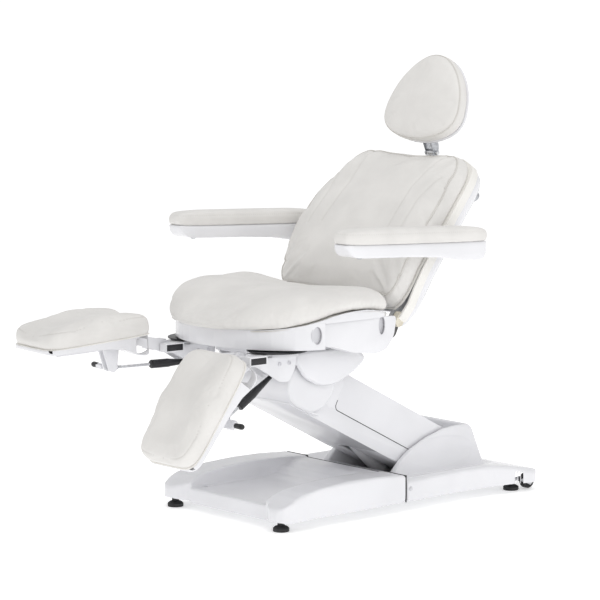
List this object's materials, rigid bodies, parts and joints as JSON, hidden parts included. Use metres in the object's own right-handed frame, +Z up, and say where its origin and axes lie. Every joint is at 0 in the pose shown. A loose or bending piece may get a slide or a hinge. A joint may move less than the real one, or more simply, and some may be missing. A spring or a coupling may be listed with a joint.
{
  "type": "podiatry chair",
  "caption": "White padded treatment chair on a lifting arm, with a reclining back, folding armrests, a headrest and split leg rests that turn, drop and extend.",
  "frame": {"origin": "on the floor, under the middle of the chair's length and width", "axes": "+Z up, -Y the way the sitter faces, +X the sitter's left"},
  "size_m": [0.778, 1.4927, 1.2527],
  "materials": {
    "base_steel": "satin",
    "white_plastic": "glossy",
    "armrest_plastic": "glossy",
    "screw_cap": "glossy",
    "upholstery": "smooth, softly grained",
    "foot_rubber": "matt",
    "wheel_plastic": "matt",
    "machined_steel": "machined",
    "frame_steel": "satin",
    "black_metal": "satin",
    "rod_chrome": "polished",
    "hinge_grey": "satin",
    "gathered_fabric": "woven",
    "knob_plastic": "matt",
    "white_metal": "glossy",
    "button_metal": "satin"
  },
  "bodies": {
    "base": {"base_frame": "base_steel", "front_cover": "white_plastic", "rear_cover": "white_plastic", "cover_screws": "screw_cap", "levelling_feet": "foot_rubber", "lift_pivot_shaft": "machined_steel"},
    "arm": {"arm_frame": "frame_steel", "arm_cover": "white_plastic", "arm_top_panel": "white_plastic", "arm_head_cover": "white_plastic"},
    "link": {"parallel_link": "frame_steel"},
    "carriage": {"carriage_yoke": "frame_steel", "carriage_cover": "white_plastic", "carriage_shaft": "machined_steel"},
    "lift_tube": {"lift_tube": "black_metal"},
    "lift_rod": {"lift_rod": "rod_chrome"},
    "tilt_tube": {"tilt_tube": "black_metal"},
    "tilt_rod": {"tilt_rod": "rod_chrome"},
    "back_tube": {"back_tube": "black_metal"},
    "back_rod": {"back_rod": "rod_chrome"},
    "seat": {"seat_frame": "frame_steel", "seat_shell": "white_plastic", "seat_side_cover_left": "white_plastic", "seat_side_cover_right": "white_plastic", "seat_cushion": "upholstery", "swivel_plates": "black_metal", "back_hinge_brackets": "hinge_grey"},
    "back": {"back_frame": "frame_steel", "back_shell": "white_plastic", "back_cushion": "upholstery", "back_gussets": "gathered_fabric", "headrest_knob": "knob_plastic"},
    "headrest_post": {"headrest_post": "rod_chrome"},
    "headrest": {"headrest_bracket": "machined_steel", "headrest_shell": "white_plastic", "headrest_cushion": "upholstery"},
    "wheel_left": {"transport_wheel_left": "wheel_plastic"},
    "armrest_left": {"armrest_cover_left": "armrest_plastic", "armrest_pad_left": "upholstery"},
    "button_left": {"armrest_button_left": "button_metal"},
    "swivel_left": {"leg_swivel_left": "white_metal"},
    "leg_left": {"leg_frame_left": "white_metal"},
    "leg_pad_left": {"leg_shell_left": "white_plastic", "leg_pad_left": "upholstery"},
    "gas_tube_left": {"gas_tube_left": "black_metal"},
    "gas_rod_left": {"gas_rod_left": "rod_chrome"},
    "lever_left": {"leg_lever_left": "knob_plastic"},
    "wheel_right": {"transport_wheel_right": "wheel_plastic"},
    "armrest_right": {"armrest_cover_right": "armrest_plastic", "armrest_pad_right": "upholstery"},
    "button_right": {"armrest_button_right": "button_metal"},
    "swivel_right": {"leg_swivel_right": "white_metal"},
    "leg_right": {"leg_frame_right": "white_metal"},
    "leg_pad_right": {"leg_shell_right": "white_plastic", "leg_pad_right": "upholstery"},
    "gas_tube_right": {"gas_tube_right": "black_metal"},
    "gas_rod_right": {"gas_rod_right": "rod_chrome"},
    "lever_right": {"leg_lever_right": "knob_plastic"}
  },
  "joints": [
    {"name": "lift", "type": "hinge", "parent": "base", "child": "arm", "pos_m": [0, 0.4575, 0.11], "axis": [-1, 0, 0], "range_deg": [-9.4, 27.6]},
    {"name": "link_swing", "type": "hinge", "parent": "base", "child": "link", "pos_m": [0.045, 0.4575, 0.05], "axis": [-1, 0, 0], "range_deg": [-9.4, 27.6]},
    {"name": "carriage_level", "type": "hinge", "parent": "arm", "child": "carriage", "pos_m": [0, -0.06257, 0.38004], "axis": [-1, 0, 0], "range_deg": [-27.6, 9.4]},
    {"name": "lift_tube_swing", "type": "hinge", "parent": "base", "child": "lift_tube", "pos_m": [-0.02, 0.3675, 0.048], "axis": [-1, 0, 0], "range_deg": [-9.6, 28.1]},
    {"name": "lift_rod_out", "type": "slide", "parent": "lift_tube", "child": "lift_rod", "axis": [0, -0.7339, 0.6793], "range_m": [-0.018, 0.053]},
    {"name": "seat_tilt", "type": "hinge", "parent": "carriage", "child": "seat", "pos_m": [0, 0.0675, 0.486], "axis": [-1, 0, 0], "range_deg": [0, 12]},
    {"name": "tilt_tube_swing", "type": "hinge", "parent": "carriage", "child": "tilt_tube", "pos_m": [-0.045, 0.0195, 0.44], "axis": [-1, 0, 0], "range_deg": [0, 14]},
    {"name": "tilt_rod_out", "type": "slide", "parent": "tilt_tube", "child": "tilt_rod", "axis": [0, -0.9199, 0.3921], "range_m": [0, 0.0135]},
    {"name": "recline", "type": "hinge", "parent": "seat", "child": "back", "pos_m": [0, 0.1825, 0.528], "axis": [-1, 0, 0], "range_deg": [-12, 50]},
    {"name": "back_tube_swing", "type": "hinge", "parent": "seat", "child": "back_tube", "pos_m": [0.045, 0.0195, 0.478], "axis": [-1, 0, 0], "range_deg": [-3.2, 12.9]},
    {"name": "back_rod_out", "type": "slide", "parent": "back_tube", "child": "back_rod", "axis": [0, 0.9852, 0.1713], "range_m": [-0.0315, 0.0076]},
    {"name": "armrest_left", "type": "hinge", "parent": "back", "child": "armrest_left", "pos_m": [0.351, 0.31397, 0.73364], "axis": [-1, 0, 0], "range_deg": [-15, 95]},
    {"name": "button_left", "type": "slide", "parent": "armrest_left", "child": "button_left", "axis": [0, 0.0454, 0.999], "range_m": [0, 0.003], "stiffness_N_per_m": 300, "springref_m": -0.003},
    {"name": "armrest_right", "type": "hinge", "parent": "back", "child": "armrest_right", "pos_m": [-0.351, 0.31397, 0.73364], "axis": [-1, 0, 0], "range_deg": [-15, 95]},
    {"name": "button_right", "type": "slide", "parent": "armrest_right", "child": "button_right", "axis": [0, 0.0454, 0.999], "range_m": [0, 0.003], "stiffness_N_per_m": 300, "springref_m": -0.003},
    {"name": "headrest_height", "type": "slide", "parent": "back", "child": "headrest_post", "axis": [0, 0.5592, 0.829], "range_m": [0, 0.07]},
    {"name": "headrest_tilt", "type": "hinge", "parent": "headrest_post", "child": "headrest", "pos_m": [0, 0.53215, 0.97126], "axis": [-1, 0, 0], "range_deg": [-20, 30]},
    {"name": "leg_turn_left", "type": "hinge", "parent": "seat", "child": "swivel_left", "pos_m": [0.17, -0.2065, 0.48], "axis": [0, 0, 1], "range_deg": [0, 25]},
    {"name": "leg_drop_left", "type": "hinge", "parent": "swivel_left", "child": "leg_left", "pos_m": [0.17, -0.3225, 0.47], "axis": [1, 0, 0], "range_deg": [-53.7, 18.3]},
    {"name": "leg_length_left", "type": "slide", "parent": "leg_left", "child": "leg_pad_left", "axis": [0, -0.592, -0.8059], "range_m": [0, 0.08]},
    {"name": "gas_swing_left", "type": "hinge", "parent": "swivel_left", "child": "gas_tube_left", "pos_m": [0.17, -0.2225, 0.418], "axis": [1, 0, 0], "range_deg": [-36.47, 12.49]},
    {"name": "gas_rod_out_left", "type": "slide", "parent": "gas_tube_left", "child": "gas_rod_left", "axis": [0, -0.8453, -0.5343], "range_m": [-0.02622, 0.07676]},
    {"name": "lever_left", "type": "hinge", "parent": "leg_left", "child": "lever_left", "pos_m": [0.198, -0.39886, 0.30523], "axis": [0, 0.592, 0.8059], "range_deg": [0, 12], "stiffness_Nm_per_rad": 0.4, "springref_deg": -20.05},
    {"name": "leg_turn_right", "type": "hinge", "parent": "seat", "child": "swivel_right", "pos_m": [-0.17, -0.2065, 0.48], "axis": [0, 0, -1], "range_deg": [-4.6, 20.4]},
    {"name": "leg_drop_right", "type": "hinge", "parent": "swivel_right", "child": "leg_right", "pos_m": [-0.1793, -0.32213, 0.47], "axis": [0.9968, -0.0802, 0], "range_deg": [-3.6, 68.4]},
    {"name": "leg_length_right", "type": "slide", "parent": "leg_right", "child": "leg_pad_right", "axis": [-0.08, -0.9948, -0.0628], "range_m": [-0.06, 0.02]},
    {"name": "gas_swing_right", "type": "hinge", "parent": "swivel_right", "child": "gas_tube_right", "pos_m": [-0.17128, -0.22245, 0.418], "axis": [0.9968, -0.0802, 0], "range_deg": [-2.52, 46.17]},
    {"name": "gas_rod_out_right", "type": "slide", "parent": "gas_tube_right", "child": "gas_rod_right", "axis": [-0.0802, -0.9966, 0.0187], "range_m": [-0.09313, 0.005]},
    {"name": "lever_right", "type": "hinge", "parent": "leg_right", "child": "lever_right", "pos_m": [-0.22128, -0.4947, 0.42289], "axis": [-0.08, -0.9948, -0.0628], "range_deg": [0, 12], "stiffness_Nm_per_rad": 0.4, "springref_deg": -20.05},
    {"name": "wheel_left", "type": "hinge", "parent": "base", "child": "wheel_left", "pos_m": [0.244, 0.6865, 0.025], "axis": [1, 0, 0], "continuous": true},
    {"name": "wheel_right", "type": "hinge", "parent": "base", "child": "wheel_right", "pos_m": [-0.244, 0.6865, 0.025], "axis": [1, 0, 0], "continuous": true}
  ],
  "couplings": [
    {"joint": "link_swing", "follows": "lift", "ratio": 1},
    {"joint": "carriage_level", "follows": "lift", "ratio": -1},
    {"joint": "lift_tube_swing", "follows": "lift", "ratio": 1.0142},
    {"joint": "lift_rod_out", "follows": "lift", "m_per_rad": 0.10822},
    {"joint": "tilt_tube_swing", "follows": "seat_tilt", "ratio": 1.144},
    {"joint": "tilt_rod_out", "follows": "seat_tilt", "m_per_rad": 0.06329},
    {"joint": "back_tube_swing", "follows": "recline", "ratio": 0.2554},
    {"joint": "back_rod_out", "follows": "recline", "m_per_rad": -0.03572},
    {"joint": "gas_swing_left", "follows": "leg_drop_left", "ratio": 0.6772},
    {"joint": "gas_rod_out_left", "follows": "leg_drop_left", "m_per_rad": -0.08179},
    {"joint": "gas_swing_right", "follows": "leg_drop_right", "ratio": 0.6735},
    {"joint": "gas_rod_out_right", "follows": "leg_drop_right", "m_per_rad": -0.07793}
  ]
}
